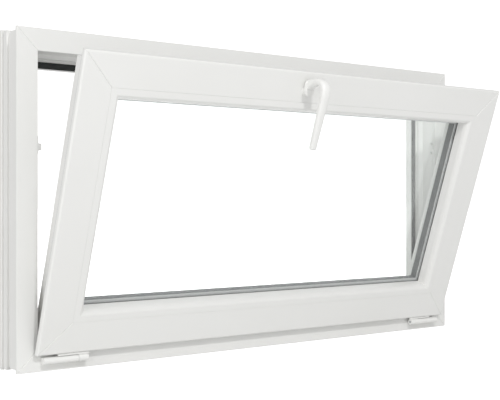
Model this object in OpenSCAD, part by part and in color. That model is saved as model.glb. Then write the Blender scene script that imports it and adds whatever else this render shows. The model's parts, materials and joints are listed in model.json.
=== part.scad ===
// Bottom-hung tilt window: white hollow-profile frame, glazed sash that tilts
// into the room on two barrel hinges, lever handle with cam locking gear, and
// one stay arm that limits the opening. Millimetres.
// X runs across the window, +Y points outdoors, +Z is up.

/* [Overall size] */
// Width over the outer frame
frame_w = 1100; // [820:10:1500]
// Height over the outer frame
frame_h = 600; // [500:10:1000]
// How far the sash is tilted into the room, degrees
tilt_open = 18.5; // [10:0.1:24]

/* [Frame profile] */
// Depth of the frame, room side to outdoor side
frame_d = 70; // [68:1:86]
// Width of the frame's room-side face
frame_face = 40; // [38:1:52]
// Height of the outdoor stop lip above the rebate floor at its foot
lip_h = 18; // [16:1:26]
// Thickness of the outdoor stop lip
lip_t = 17; // [14:1:20]
// Rise of the sloped rebate floor towards the lip
floor_rise = 6; // [2:0.5:7]
// Width of the foot rib on the room side
foot_rib = 5; // [4:0.5:8]

/* [Sash profile] */
// How far the closed sash stands in front of the frame's room-side face
sash_proud = 12; // [11:0.5:16]
// Thickness of the sash's overlap flange
flange_t = 9; // [8:0.5:12]
// Distance from the frame's outer edge to the closed sash's outer edge
sash_inset = 30.5; // [29:0.5:33]
// Width of the sash flange beyond the hardware side
flange_w = 21; // [20:0.5:22]
// Width from the sash's outer edge to the glazing rebate floor
rebate_c = 56.5; // [55:0.5:66]
// Radius of the sash's front arris
arris_r = 4; // [1:0.5:6]
// Outer wall thickness of the hollow profiles
wall = 2.8; // [2:0.1:3]

/* [Glazing] */
// Distance from the sash face back to the inner pane
glass_e = 29.5; // [28:0.5:31]
// Thickness of each pane
pane_t = 4; // [3:0.5:6]
// Width of the gas space between the panes
gas_gap = 16; // [12:1:18]
// Clearance from the glazing rebate floor to the edge of the panes
glass_edge = 8; // [4:1:9]
// Width of the bead beyond the rebate floor
bead_w = 23.5; // [19:0.5:26]
// Height of the spacer bar between the panes
spacer_h = 9; // [6:1:12]

/* [Hardware] */
// Place of the handle across the window, from its middle
handle_x = -44; // [-150:1:150]
// Length of the lever below its spindle
lever_len = 101; // [85:1:130]
// Distance of the lever's middle from the sash face
lever_out = 55; // [50:1:64]
// Side of the square spindle
spindle_s = 7; // [6:0.5:8]
// Gear module of rack and pinion
gear_m = 1.25; // [1:0.05:1.25]
// Teeth on the pinion
pinion_z = 15; // [13:1:15]
// Outer radius of the hinge barrels
barrel_r = 6; // [5:0.25:6.5]
// Length of the frame's hinge knuckle
knuckle_f = 66; // [50:1:90]
// Length of the sash's hinge knuckle
knuckle_s = 19.5; // [15:0.5:40]
// Distance from the frame's outer edge to a hinge
hinge_in = 46; // [40:1:150]
// Radius of the hinge pin
pin_r = 2.5; // [2:0.25:3]
// Length of the stay arm between its pivots, shortened where a low window needs it
stay_set = 200; // [140:5:220]
// Height of the stay's frame pivot above the frame's foot
stay_z = 120; // [100:1:140]
// Distance of the top cams from the sash's side edges
cam_in = 190; // [140:5:300]
// Distance of the side cams below the sash's top edge
cam_down = 160; // [150:5:170]
// Radius of the frame-fixing holes
fix_r = 3.25; // [2.5:0.25:5]
// Distance of the frame-fixing holes from the frame's top and foot
fix_in = 100; // [90:5:200]

/* [Hidden] */
$fn = 48;

fit = 0.1;          // clearance of a piece that seats in another
run_fit = 0.05;     // radial clearance of a pin that turns in its bore
move_gap = 0.3;     // least gap between pieces that move past each other
web = 1.5;          // inner webs of the hollow profiles
steel_t = 1.5;      // wall of the reinforcement channels

// frame profile, d = depth from the room-side face, u = distance from the outer edge
lip_u = frame_face + floor_rise + lip_h;   // tip of the outdoor lip
lip_d = frame_d - lip_t;                   // room side of the outdoor lip
slope_d0 = lip_d - 15;                     // the rebate floor is flat up to here
slope_d1 = lip_d - 7;                      // and level again from here
base_recess = 5;                           // depth of the recess between the base ribs
steel_d0 = 9;                              // frame steel chamber, room side
steel_d1 = 34;                             // frame steel chamber, outdoor side

// sash, e = depth from the sash face, c = distance from the sash's outer edge
sash_w = frame_w - 2 * sash_inset;
sash_h = frame_h - 2 * sash_inset;
seal_gap = 2.7;                                // frame gasket height on the lip
sash_e1 = lip_d + sash_proud - seal_gap - move_gap;  // face that meets the frame gasket
sash_e2 = sash_e1 + 5;                         // outdoor face beyond the frame lip
step_c = lip_u - sash_inset + 3;               // where the sash steps past the lip
bead_gap = 0.2;                                // joint line between sash face and bead
bead_lap = 2.6;                                // sash face beyond the rebate floor
bead_c = rebate_c + bead_w;                    // inner edge of the bead
pane_c = rebate_c + glass_edge;                // edge of the panes
outer_e = glass_e + pane_t + gas_gap;          // outdoor pane, room side
glass_e1 = outer_e + pane_t;                   // outdoor pane, outdoor side
lip_e = glass_e1 + 3.5;                        // glazing lip, room side
seal_c = bead_c - 3;                           // foot of the spacer bar
groove_off = 13;                               // groove's middle behind the flange
groove_e = flange_t + groove_off;
ledge_w = 16;                                  // groove width at the faceplate
groove_w = 12;                                 // groove width below it
ledge_c = flange_w + 3;                        // faceplate ledge
groove_c = ledge_c + 8.5;                      // bottom of the groove
plate_c = flange_w + 0.3;                      // visible side of the faceplate
plate_t = 2.5;

// hinge axis in the frame's depth and height
axis_d = -barrel_r - 4;
axis_z = sash_inset - barrel_r - 4.5;
leaf_back = flange_t - sash_proud - axis_d - 0.5;      // back edge of the sash leaf's plate
leaf_w = 8;

// gear
pitch_r = gear_m * pinion_z / 2;
rod_c = plate_c + plate_t + move_gap;      // drive rod, outer side
rod_t = 1.6;
rack_c = rod_c + rod_t + 1.2 * gear_m;     // pitch line of the rack
spindle_c = rack_c + pitch_r;              // spindle below the sash's top edge
travel = pitch_r * PI / 2;                 // rod travel for a quarter turn
gear_e0 = groove_e - 3.2;
gear_e1 = groove_e + 3.2;
backlash = 0.35;
rod_w = 9.6;

// cams and keepers
cam_x = sash_w / 2 - cam_in;               // top cams from the window's middle
cam_r = 5;
neck_r = 3.25;
cam_c = flange_w - 7.2;                    // top of the cam's head
keeper_t = 1.8;
// the sash's back edge swings past the top keepers at this distance from the frame's top
sweep_u = frame_h - axis_z - norm([sash_e1 - sash_proud - axis_d,
                                   frame_h - sash_inset - flange_w - axis_z]);
keeper_lip = sweep_u - 0.6 - frame_face;   // height of the keeper's lip
corner_leg = 80;                           // leg of a corner drive
corner_in = plate_c + 2.5;                 // its start from the sash's outer corner
band_end = 52;                             // end of a corner band from the sash's corner

// stay: track runs down the middle of the hardware groove
stay_off = groove_e - sash_proud - axis_d;             // track from the hinge axis
stay_up = stay_z - axis_z;
stay_pin_r = 3;
track_end = 14;                                        // plate beyond the slot
cam_clear = 45;                                        // track stays this far below the cam
stay_len = min(stay_set, sash_h - cam_down - cam_clear - track_end - stay_pin_r - 7
  - (stay_z - sash_inset));
slide_turn = asin((stay_up * sin(tilt_open) - stay_off * (1 - cos(tilt_open))) / stay_len);
arm_turn = tilt_open + slide_turn;                     // arm from upright, sash open
shoe_open = -(-stay_len * sin(arm_turn) + stay_off) * sin(tilt_open)
  + (stay_up + stay_len * cos(arm_turn)) * cos(tilt_open);  // along the sash from the axis
shoe_h = shoe_open + axis_z - sash_inset;              // shoe above the sash's foot
shoe_closed_h = stay_z + stay_len - sash_inset;
track_h0 = shoe_h - stay_pin_r - 1;
track_h1 = shoe_closed_h + stay_pin_r + 5;
// lower end of the side faceplates, from the sash's top
side_plate_end = min(cam_down + 55, sash_h - track_h1 - track_end - 1);
jamb_x = frame_w / 2 - frame_face;                     // rebate floor of the right jamb
side_x = sash_w / 2 - flange_w;                        // hardware side of the right stile
arm_t = 2.5;
arm_x = jamb_x - 3 - 1 - arm_t;                        // sash side of the stay arm

white = [0.93, 0.93, 0.93];
bead_white = [0.92, 0.92, 0.92];
black = [0.11, 0.12, 0.12];
pale_grey = [0.78, 0.79, 0.79];
zinc = [0.75, 0.76, 0.77];
glass_tint = [0.86, 0.93, 0.92, 0.3];

// ---------- placing ----------

// depth 0 is the room-side face; the origin sits on the middle of the foot rib
module in_frame() translate([0, -foot_rib / 2, 0]) children();

// y = e, z = up from the sash's outer foot, tilted about the hinge axis
module in_sash() in_frame() translate([0, axis_d, axis_z]) rotate([tilt_open, 0, 0])
  translate([0, -sash_proud - axis_d, sash_inset - axis_z]) children();

// puts a bar drawn along X at z = 0 on one side of a w by h ring
module side(which, w, h) {
  if (which == "bottom") children();
  if (which == "top") translate([0, 0, h]) rotate([0, 180, 0]) children();
  if (which == "left") translate([-w / 2, 0, h / 2]) rotate([0, 90, 0]) children();
  if (which == "right") translate([w / 2, 0, h / 2]) rotate([0, -90, 0]) children();
}

function side_len(which, w, h) = (which == "bottom" || which == "top") ? w : h;

// extrudes a (depth, distance) section along X and mitres both ends
module mitred(len, high, low = 0) intersection() {
  rotate([90, 0, 90]) linear_extrude(height = len, center = true) children();
  translate([0, 200, 0]) rotate([90, 0, 0]) linear_extrude(height = 400)
    polygon([[-len / 2 + low, low], [len / 2 - low, low],
             [len / 2 - high, high], [-len / 2 + high, high]]);
}

module rect(a, b) translate(a) square(b - a);

// rounds a square corner at p, which opens towards +x +y, in a 2D section
module round_off(p, r) translate(p) difference() {
  translate([-1, -1]) square(r + 1);
  translate([r, r]) circle(r);
}

module csk_screw(r, len, head_r) {
  cylinder(r = r, h = len);
  translate([0, 0, 0]) cylinder(r1 = head_r, r2 = r, h = head_r - r);
}

module csk_hole(r, len, head_r) {
  translate([0, 0, -0.02]) cylinder(r = r + fit, h = len);
  translate([0, 0, -0.02]) cylinder(r1 = head_r + fit, r2 = r + fit, h = head_r - r);
}

// ---------- frame ----------

module frame_section() difference() {
  polygon([
    [0, 0], [foot_rib, 0], [foot_rib, base_recess], [36, base_recess], [36, 7], [45, 7],
    [45, 2], [57, 2], [57, base_recess], [62, base_recess], [62, 0], [frame_d, 0],
    [frame_d, lip_u], [lip_d, lip_u], [lip_d, lip_u - 4], [lip_d + 3, lip_u - 4],
    [lip_d + 3, lip_u - 7], [lip_d, lip_u - 7], [lip_d, frame_face + floor_rise],
    [slope_d1, frame_face + floor_rise], [slope_d0, frame_face],
    [7.2, frame_face], [7.2, frame_face - 0.8], [6.4, frame_face - 0.8], [6.4, frame_face],
    [0, frame_face]
  ]);
  round_off([0, 0], 0.8);
  translate([0, frame_face]) mirror([0, 1]) round_off([0, 0], 1);
  rect([wall, base_recess + wall], [steel_d0 - web, frame_face - wall]);
  rect([steel_d0, base_recess + wall], [steel_d1, frame_face - wall]);
  rect([steel_d1 + web, 7 + wall], [lip_d - wall, frame_face - wall]);
  rect([lip_d - wall + web, base_recess + wall + 1], [frame_d - wall, frame_face + 3]);
  rect([lip_d + 3 + web, frame_face + 3 + web], [frame_d - wall, lip_u - wall]);
}

module frame_steel_section() difference() {
  rect([steel_d0 + fit, base_recess + wall + fit], [steel_d1 - fit, frame_face - wall - fit]);
  rect([steel_d0 + fit + steel_t, base_recess + wall + fit + steel_t],
       [steel_d1 - fit - steel_t, frame_face - wall - fit - steel_t]);
  rect([steel_d1 - fit - steel_t - 1, 16], [steel_d1 + 1, frame_face - 11]);
}

// shallow grooves left along the welded mitres of a w by h ring, on its room-side face
weld_a = 1.5;
module weld_grooves(w, h, reach) for (sx = [-1, 1], sz = [0, 1])
  translate([sx * w / 2, 0, sz * h]) rotate([0, (2 * sz - 1) * (90 + 45 * sx), 0])
    translate([-2, 0, 0]) rotate([45, 0, 0]) translate([0, -weld_a / 2, -weld_a / 2])
      cube([reach * sqrt(2) + 2, weld_a, weld_a]);

module frame_bar(which) difference() {
  side(which, frame_w, frame_h)
    mitred(side_len(which, frame_w, frame_h), lip_u) frame_section();
  weld_grooves(frame_w, frame_h, frame_face + 2);
}

module frame_gasket_section() {
  rect([lip_d - seal_gap, lip_u - 12], [lip_d, lip_u]);
  rect([lip_d - fit, lip_u - 7 + fit], [lip_d + 3 - fit, lip_u - 4 - fit]);
}

module frame_gasket(which) color(black) in_frame() side(which, frame_w, frame_h)
  mitred(side_len(which, frame_w, frame_h), lip_u, lip_u - 12) frame_gasket_section();

// frame-fixing holes run from the rebate floor through the steel; the screw itself
// pierces the back wall
fix_d = (steel_d0 + steel_d1) / 2;
fix_u0 = base_recess + wall + fit;
module fixing_holes() for (s = [-1, 1], z = [fix_in, frame_h - fix_in])
  translate([s * (frame_w / 2 - lip_u), fix_d, z]) rotate([0, s * 90, 0])
    cylinder(r = fix_r, h = lip_u - fix_u0);

drain_x = frame_w * 0.3;
module drain_slots() for (s = [-1, 1]) translate([s * drain_x - 12.5, frame_d - 10, 14])
  cube([25, 11, 5]);

module drain_cap() {
  translate([-18, 0, -6]) cube([36, 2, 12]);
  translate([-15, 2, -4]) cube([30, 1.5, 8]);
  translate([-12.5 + fit, -4, -2.5 + fit]) cube([25 - 2 * fit, 4.01, 5 - 2 * fit]);
}

module drain_caps() color(white) in_frame() for (s = [-1, 1])
  translate([s * drain_x, frame_d, 16.5]) drain_cap();

module stud_holes() for (s = [-1, 1], x = [14, knuckle_f - 14])
  translate([s * (frame_w / 2 - hinge_in - x), -1, axis_z]) rotate([-90, 0, 0])
    cylinder(r = 3.5 + fit, h = 24);

module frame_cuts() {
  fixing_holes();
  stud_holes();
  drain_slots();
  keeper_screw_set(fit);
  bracket_screw_set(fit);
}

module frame_head() color(white) in_frame() difference() { frame_bar("top"); frame_cuts(); }
module frame_sill() color(white) in_frame() difference() { frame_bar("bottom"); frame_cuts(); }
module frame_jamb_left() color(white) in_frame() difference() {
  frame_bar("left");
  frame_cuts();
}
module frame_jamb_right() color(white) in_frame() difference() {
  frame_bar("right");
  frame_cuts();
}

// steel channels stop short of the welded corners
steel_stop = 48;
module frame_steels() color(zinc) in_frame() difference() {
  for (s = ["bottom", "top", "left", "right"]) side(s, frame_w, frame_h)
    rotate([90, 0, 90])
      linear_extrude(height = side_len(s, frame_w, frame_h) - 2 * steel_stop, center = true)
        frame_steel_section();
  frame_cuts();
}

// ---------- keepers ----------

// drawn along X in the rebate: cam enters at x = 0 and locks at x = -travel
keeper_x0 = -travel - 13.5;
keeper_x1 = 2;
cam_d = groove_e - sash_proud;             // cam axis, depth in the frame
module keeper() difference() {
  union() {
    translate([keeper_x0, cam_d - cam_r - 3.4, frame_face])
      cube([keeper_x1 - keeper_x0, 2 * cam_r + 4, keeper_t]);
    translate([-travel - cam_r - 3, cam_d - cam_r - 3.4, frame_face])
      cube([travel - 3, 2.6, keeper_lip]);
  }
  for (x = [keeper_x0 + 5, keeper_x1 - 5])
    translate([x, cam_d, frame_face + keeper_t]) rotate([180, 0, 0]) csk_hole(1.8, 12, 3.4);
}

// where each keeper lies: side of the frame, place along that side, and its sense
module keeper_left_at() side("left", frame_w, frame_h)
  translate([-(frame_h / 2 - sash_inset - cam_down), 0, 0]) mirror([1, 0, 0]) children();
module keeper_right_at() side("right", frame_w, frame_h)
  translate([frame_h / 2 - sash_inset - cam_down, 0, 0]) mirror([1, 0, 0]) children();
module keepers_top_at() for (x = [-cam_x, cam_x]) translate([x, 0, frame_h])
  mirror([0, 0, 1]) children();

module keepers_top() color(white) in_frame() keepers_top_at() keeper();
module keeper_left() color(white) in_frame() keeper_left_at() keeper();
module keeper_right() color(white) in_frame() keeper_right_at() keeper();

module keeper_screw_pair(grow) for (x = [keeper_x0 + 5, keeper_x1 - 5])
  translate([x, cam_d, frame_face + keeper_t]) rotate([180, 0, 0])
    csk_screw(1.8 + grow, 11 + grow, 3.4 + grow);

module keeper_screw_set(grow) {
  keepers_top_at() keeper_screw_pair(grow);
  keeper_left_at() keeper_screw_pair(grow);
  keeper_right_at() keeper_screw_pair(grow);
}
module keeper_screws() color(zinc) in_frame() keeper_screw_set(0);

// ---------- hinges ----------

module at_hinges(s) translate([s * (frame_w / 2 - hinge_in), axis_d, axis_z])
  mirror([s > 0 ? 1 : 0, 0, 0]) children();

knuckle_gap = 0.5;
hinge_total = knuckle_f + knuckle_gap + knuckle_s;
cap_t = 1.5;

module hinge_frame_leaf() difference() {
  union() {
    rotate([0, 90, 0]) cylinder(r = barrel_r, h = knuckle_f);
    translate([0, 0, -5]) cube([knuckle_f, -axis_d, 10]);
  }
  translate([-1, 0, 0]) rotate([0, 90, 0]) cylinder(r = pin_r + run_fit, h = knuckle_f + 2);
  for (x = [14, knuckle_f - 14]) translate([x, pin_r + 1.5, 0]) rotate([-90, 0, 0])
    cylinder(r = 3.5 + fit, h = 12);
}
module hinge_frame_left() color(white) in_frame() at_hinges(-1) hinge_frame_leaf();
module hinge_frame_right() color(white) in_frame() at_hinges(1) hinge_frame_leaf();

module hinge_studs() color(zinc) in_frame() for (s = [-1, 1]) at_hinges(s)
  for (x = [14, knuckle_f - 14]) translate([x, pin_r + 1.6, 0]) rotate([-90, 0, 0])
    cylinder(r = 3.5, h = 22 - axis_d - pin_r - 1.6);

module hinge_pins() color(zinc) in_frame() for (s = [-1, 1]) at_hinges(s)
  rotate([0, 90, 0]) cylinder(r = pin_r, h = hinge_total);

module hinge_caps() color(white) in_frame() for (s = [-1, 1]) at_hinges(s)
  translate([-cap_t, 0, 0]) rotate([0, 90, 0]) cylinder(r = barrel_r - 0.3, h = cap_t - 0.02);

// sash leaf: knuckle, neck and a foot plate under the sash flange
leaf_t = 3;
leaf_len = 60;
leaf_screw_x = [hinge_total - leaf_len + 8, hinge_total - leaf_len / 2 + 1];
leaf_top = sash_inset - axis_z;
module hinge_sash_leaf() difference() {
  union() {
    translate([knuckle_f + knuckle_gap, 0, 0]) rotate([0, 90, 0])
      cylinder(r = barrel_r, h = knuckle_s);
    translate([knuckle_f + knuckle_gap, leaf_back - leaf_w + 0.8, 0])
      cube([knuckle_s, leaf_w - 1.6, leaf_top - 1]);
    translate([hinge_total - leaf_len, leaf_back - leaf_w, leaf_top - leaf_t])
      cube([leaf_len, leaf_w, leaf_t]);
  }
  translate([-1, 0, 0]) rotate([0, 90, 0])
    cylinder(r = pin_r + run_fit, h = hinge_total + 2);
  for (x = leaf_screw_x) translate([x, leaf_back - leaf_w / 2, leaf_top - leaf_t])
    csk_hole(1.75, 14, 3.2);
}

// hinge parts that move with the sash, drawn about the tilted axis
module tilted_hinges(s) in_frame() translate([0, axis_d, axis_z]) rotate([tilt_open, 0, 0])
  translate([0, -axis_d, -axis_z]) at_hinges(s) children();
module hinge_sash_left() color(white) tilted_hinges(-1) hinge_sash_leaf();
module hinge_sash_right() color(white) tilted_hinges(1) hinge_sash_leaf();
module leaf_screws(grow) for (x = leaf_screw_x)
  translate([x, leaf_back - leaf_w / 2, leaf_top - leaf_t])
    csk_screw(1.75 + grow, 14 + grow, 3.2 + grow);
module hinge_sash_screws() color(zinc) for (s = [-1, 1]) tilted_hinges(s) leaf_screws(0);

// ---------- sash ----------

module sash_section() difference() {
  polygon([
    [0, 0], [flange_t, 0], [flange_t, 2.5], [flange_t - 2.5, 2.5], [flange_t - 2.5, 5.5],
    [flange_t, 5.5], [flange_t, flange_w],
    [groove_e - ledge_w / 2, flange_w], [groove_e - ledge_w / 2, ledge_c],
    [groove_e - groove_w / 2, ledge_c], [groove_e - groove_w / 2, groove_c],
    [groove_e + groove_w / 2, groove_c], [groove_e + groove_w / 2, ledge_c],
    [groove_e + ledge_w / 2, ledge_c], [groove_e + ledge_w / 2, flange_w],
    [sash_e1, flange_w], [sash_e1, step_c], [sash_e2, step_c], [sash_e2, bead_c - 2],
    [lip_e, bead_c - 2], [lip_e, bead_c - 5], [lip_e + 2.5, bead_c - 5],
    [lip_e + 2.5, bead_c - 8], [lip_e, bead_c - 8], [lip_e, rebate_c],
    [16, rebate_c], [16, rebate_c - 2], [13, rebate_c - 2], [13, rebate_c],
    [8, rebate_c], [8, rebate_c + bead_lap], [0, rebate_c + bead_lap]
  ]);
  round_off([0, 0], arris_r);
  rect([wall, 8], [flange_t - 2.5 - web, rebate_c - 2 - wall]);
  rect([flange_t - 1, groove_c + wall], [groove_e + 6.8, rebate_c - 2 - wall]);
  rect([groove_e + ledge_w / 2 + web, ledge_c + web], [sash_e1 - wall, groove_c + 1.5]);
  rect([groove_e + 8.3, groove_c + 1.5 + web], [sash_e2 - 11.5, rebate_c - wall]);
  rect([sash_e2 - 11.5 + web, step_c + wall], [sash_e2 - wall, rebate_c - wall]);
  rect([lip_e + 2.5 + web, rebate_c + 1], [sash_e2 - wall, bead_c - 2 - wall]);
}

sash_steel_e0 = groove_e + 8.3;
sash_steel_e1 = sash_e2 - 11.5;
sash_steel_c0 = groove_c + 1.5 + web;
sash_steel_c1 = rebate_c - wall;
module sash_steel_section() difference() {
  rect([sash_steel_e0 + fit, sash_steel_c0 + fit], [sash_steel_e1 - fit, sash_steel_c1 - fit]);
  rect([sash_steel_e0 + fit + steel_t, sash_steel_c0 + fit + steel_t],
       [sash_steel_e1 - fit - steel_t, sash_steel_c1 - fit - steel_t]);
  rect([sash_steel_e1 - steel_t - 1, sash_steel_c0 + 6],
       [sash_steel_e1 + 1, sash_steel_c1 - 6]);
}

module sash_bar(which) difference() {
  side(which, sash_w, sash_h)
    mitred(side_len(which, sash_w, sash_h), bead_c - 2) sash_section();
  weld_grooves(sash_w, sash_h, rebate_c + bead_lap + 2);
}

spindle_z = sash_h - spindle_c;
case_half = 46;
module gear_pocket() {
  translate([handle_x - case_half - 2, groove_e - groove_w / 2, spindle_z - 17])
    cube([2 * case_half + 4, groove_w, 30]);
  translate([handle_x, -1, spindle_z]) rotate([-90, 0, 0]) cylinder(r = 8, h = groove_e);
}

module sash_screw_holes() {
  faceplate_screw_set(fit);
  translate([0, 0, axis_z - sash_inset]) translate([0, sash_proud + axis_d, 0])
    for (s = [-1, 1]) translate([s * (frame_w / 2 - hinge_in), 0, 0])
      mirror([s > 0 ? 1 : 0, 0, 0]) leaf_screws(fit);
}

module sash_top_rail() color(white) in_sash() difference() {
  sash_bar("top");
  gear_pocket();
  sash_screw_holes();
}
module sash_bottom_rail() color(white) in_sash() difference() {
  sash_bar("bottom");
  sash_screw_holes();
}
module sash_left_stile() color(white) in_sash() difference() {
  sash_bar("left");
  sash_screw_holes();
}
module sash_right_stile() color(white) in_sash() difference() {
  sash_bar("right");
  sash_screw_holes();
}
sash_steel_stop = 70;
module sash_steels() color(zinc) in_sash() for (s = ["bottom", "top", "left", "right"])
  side(s, sash_w, sash_h) rotate([90, 0, 90])
    linear_extrude(height = side_len(s, sash_w, sash_h) - 2 * sash_steel_stop, center = true)
      sash_steel_section();

// ---------- glazing ----------

bead_e1 = glass_e - 1.5;
module bead_section() difference() {
  polygon([
    [0, rebate_c + bead_lap + bead_gap], [0, bead_c - 9], [1.8, bead_c - 5.4],
    [5.5, bead_c - 2.4], [11, bead_c - 0.5], [bead_e1, bead_c], [bead_e1, rebate_c + fit],
    [15.8, rebate_c + fit], [15.8, rebate_c - 1.8], [13.2, rebate_c - 1.8],
    [13.2, rebate_c + fit], [8 + fit, rebate_c + fit],
    [8 + fit, rebate_c + bead_lap + bead_gap]
  ]);
  polygon([
    [2, rebate_c + bead_lap + bead_gap + 2], [2, bead_c - 10], [6.5, bead_c - 4.4],
    [11.5, bead_c - 2.5], [bead_e1 - 2, bead_c - 2.1], [bead_e1 - 2, rebate_c + 2],
    [10.2, rebate_c + 2], [10.2, rebate_c + bead_lap + bead_gap + 2]
  ]);
}
module bead(which) color(bead_white) in_sash() side(which, sash_w, sash_h)
  mitred(side_len(which, sash_w, sash_h), bead_c + 0.01, rebate_c - 3) bead_section();
module bead_top() bead("top");
module bead_bottom() bead("bottom");
module bead_left() bead("left");
module bead_right() bead("right");

pane_w = sash_w - 2 * pane_c;
pane_h = sash_h - 2 * pane_c;
module pane(e) translate([-pane_w / 2, e, pane_c]) cube([pane_w, pane_t, pane_h]);
module inner_pane() color(glass_tint) in_sash() pane(glass_e);
module outer_pane() color(glass_tint) in_sash() pane(outer_e);

// four mitred bars between the panes, or gaskets beside them
module bar_ring(high, low) for (s = ["bottom", "top", "left", "right"])
  side(s, sash_w, sash_h) mitred(side_len(s, sash_w, sash_h), high, low) children();

spacer_c1 = seal_c + spacer_h;
module spacer_bars() color([0.42, 0.43, 0.43]) in_sash() bar_ring(spacer_c1, seal_c)
  difference() {
    rect([glass_e + pane_t + 0.3, seal_c], [outer_e - 0.3, spacer_c1]);
    rect([glass_e + pane_t + 1, seal_c + 0.8], [outer_e - 1, spacer_c1 - 0.8]);
  }
module edge_seal() color(black) in_sash() bar_ring(seal_c, pane_c)
  rect([glass_e + pane_t, pane_c], [outer_e, seal_c]);
module glazing_gasket_inner() color(black) in_sash() bar_ring(bead_c + 0.4, bead_c - 8)
  rect([bead_e1, bead_c - 8], [glass_e, bead_c + 0.4]);
module glazing_gasket_outer() color(black) in_sash() bar_ring(bead_c - 1, bead_c - 9) {
  rect([glass_e1, bead_c - 9], [lip_e, bead_c - 1]);
  rect([lip_e - fit, bead_c - 8 + fit], [lip_e + 2.5 - fit, bead_c - 5 - fit]);
}
module overlap_gasket() color(pale_grey) in_sash() bar_ring(6.5, 0.8) {
  rect([flange_t, 0.8], [sash_proud - move_gap, 6.5]);
  rect([flange_t - 2.5 + fit, 2.5 + fit], [flange_t + fit, 5.5 - fit]);
}

block_len = 80;
module setting_blocks() color([0.2, 0.35, 0.6]) in_sash() {
  for (s = [-1, 1]) {
    translate([s * (pane_w / 2 - 130) - block_len / 2, glass_e, rebate_c])
      cube([block_len, glass_e1 - glass_e, glass_edge]);
    translate([s * (pane_w / 2 + glass_edge / 2) - glass_edge / 2, glass_e,
               sash_h - pane_c - 60 - block_len])
      cube([glass_edge, glass_e1 - glass_e, block_len]);
  }
}

// ---------- locking gear ----------

// faceplate along X on the ledge, from x0 to x1, with slots where cams stand
module faceplate(x0, x1, slots, back) difference() {
  translate([x0, groove_e - ledge_w / 2 + fit, plate_c])
    cube([x1 - x0, ledge_w - 2 * fit, plate_t]);
  for (s = slots) translate([min(s[0], s[1]) - neck_r - 0.8, groove_e - neck_r - 0.5,
                             plate_c - 1])
    cube([abs(s[1] - s[0]) + 2 * neck_r + 1.6, 2 * neck_r + 1, plate_t + 2]);
}

plate_x = sash_w / 2 - corner_in - corner_leg - 0.2;
top_screws = [-plate_x - 8, -plate_x + 8, handle_x - case_half - 14,
              handle_x + case_half + 14, plate_x - 8, plate_x + 8];
side_top = sash_h / 2 - corner_in - corner_leg - 0.2;   // upper end of a side plate
side_low = sash_h / 2 - side_plate_end;                 // lower end of a side plate
side_cam = sash_h / 2 - cam_down;
side_screws = [side_top + 8, side_top - 7, side_low + 7];
screw_r = 1.5;

module on_top() side("top", sash_w, sash_h) mirror([1, 0, 0]) children();
module on_left() side("left", sash_w, sash_h) mirror([1, 0, 0]) children();
module on_right() side("right", sash_w, sash_h) children();

// a row of countersunk screws through a faceplate into the groove's floor
module screw_row(xs, grow) for (x = xs) translate([x, groove_e, plate_c])
  csk_screw(screw_r + grow, 13 + grow, 2.9 + grow);
module faceplate_screw_set(grow) {
  on_top() screw_row(top_screws, grow);
  on_left() screw_row(side_screws, grow);
  on_right() screw_row(side_screws, grow);
}
// slots that let a rod run past the screws, reach is its signed travel
module rod_slots(xs, reach) for (x = xs)
  translate([min(x, x - reach) - screw_r - 0.5, groove_e - screw_r - 0.5, rod_c - 1])
    cube([abs(reach) + 2 * screw_r + 1, 2 * screw_r + 1, rod_t + 2]);

module faceplate_top() color(zinc) in_sash() difference() {
  on_top() faceplate(-plate_x, plate_x, [[-cam_x, -cam_x - travel], [cam_x, cam_x - travel]]);
  faceplate_screw_set(fit);
}
module faceplate_left() color(zinc) in_sash() difference() {
  on_left() faceplate(side_low, side_top, [[side_cam, side_cam - travel]]);
  faceplate_screw_set(fit);
}
module faceplate_right() color(zinc) in_sash() difference() {
  on_right() faceplate(side_low, side_top, [[side_cam, side_cam + travel]]);
  faceplate_screw_set(fit);
}
module faceplate_screws() color(zinc) in_sash() faceplate_screw_set(0);

module cam() {
  translate([0, 0, cam_c]) cylinder(r = cam_r, h = 3.2);
  translate([0, 0, cam_c + 3.19]) cylinder(r = neck_r, h = rod_c - cam_c - 3.19 + 0.5);
}

module rod(x0, x1) translate([x0, groove_e - rod_w / 2, rod_c]) cube([x1 - x0, rod_w, rod_t]);

rack_pitch = PI * gear_m;
rack_half = 8;
tooth_lean = tan(20);
module rack_tooth() translate([0, gear_e0, 0]) rotate([-90, 0, 0])
  linear_extrude(height = gear_e1 - gear_e0)
    polygon([for (p = [[-1, -1.3], [-1, 1], [1, 1], [1, -1.3]])
      [p[0] * (rack_pitch / 4 - backlash / 2 - p[1] * gear_m * tooth_lean),
       -p[1] * gear_m]]);

// pinion tooth gaps face straight up at rest, so a rack tooth stands on the axis
module drive_rod_top() color(zinc) in_sash() on_top() {
  difference() {
    rod(-sash_w / 2 + band_end + travel, sash_w / 2 - band_end);
    rod_slots(top_screws, -travel);
  }
  for (x = [-cam_x, cam_x]) translate([x, groove_e, 0]) cam();
  for (i = [-rack_half : rack_half]) translate([handle_x + i * rack_pitch, 0, rack_c])
    rack_tooth();
}
module drive_rod_left() color(zinc) in_sash() on_left() {
  difference() {
    rod(side_low + travel + 12, sash_h / 2 - band_end);
    rod_slots([side_screws[0], side_screws[1]], -travel);
  }
  translate([side_cam, groove_e, 0]) cam();
}
module drive_rod_right() color(zinc) in_sash() on_right() {
  difference() {
    rod(side_low + 12, sash_h / 2 - band_end - travel);
    rod_slots([side_screws[0], side_screws[1]], travel);
  }
  translate([side_cam, groove_e, 0]) cam();
}

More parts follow.
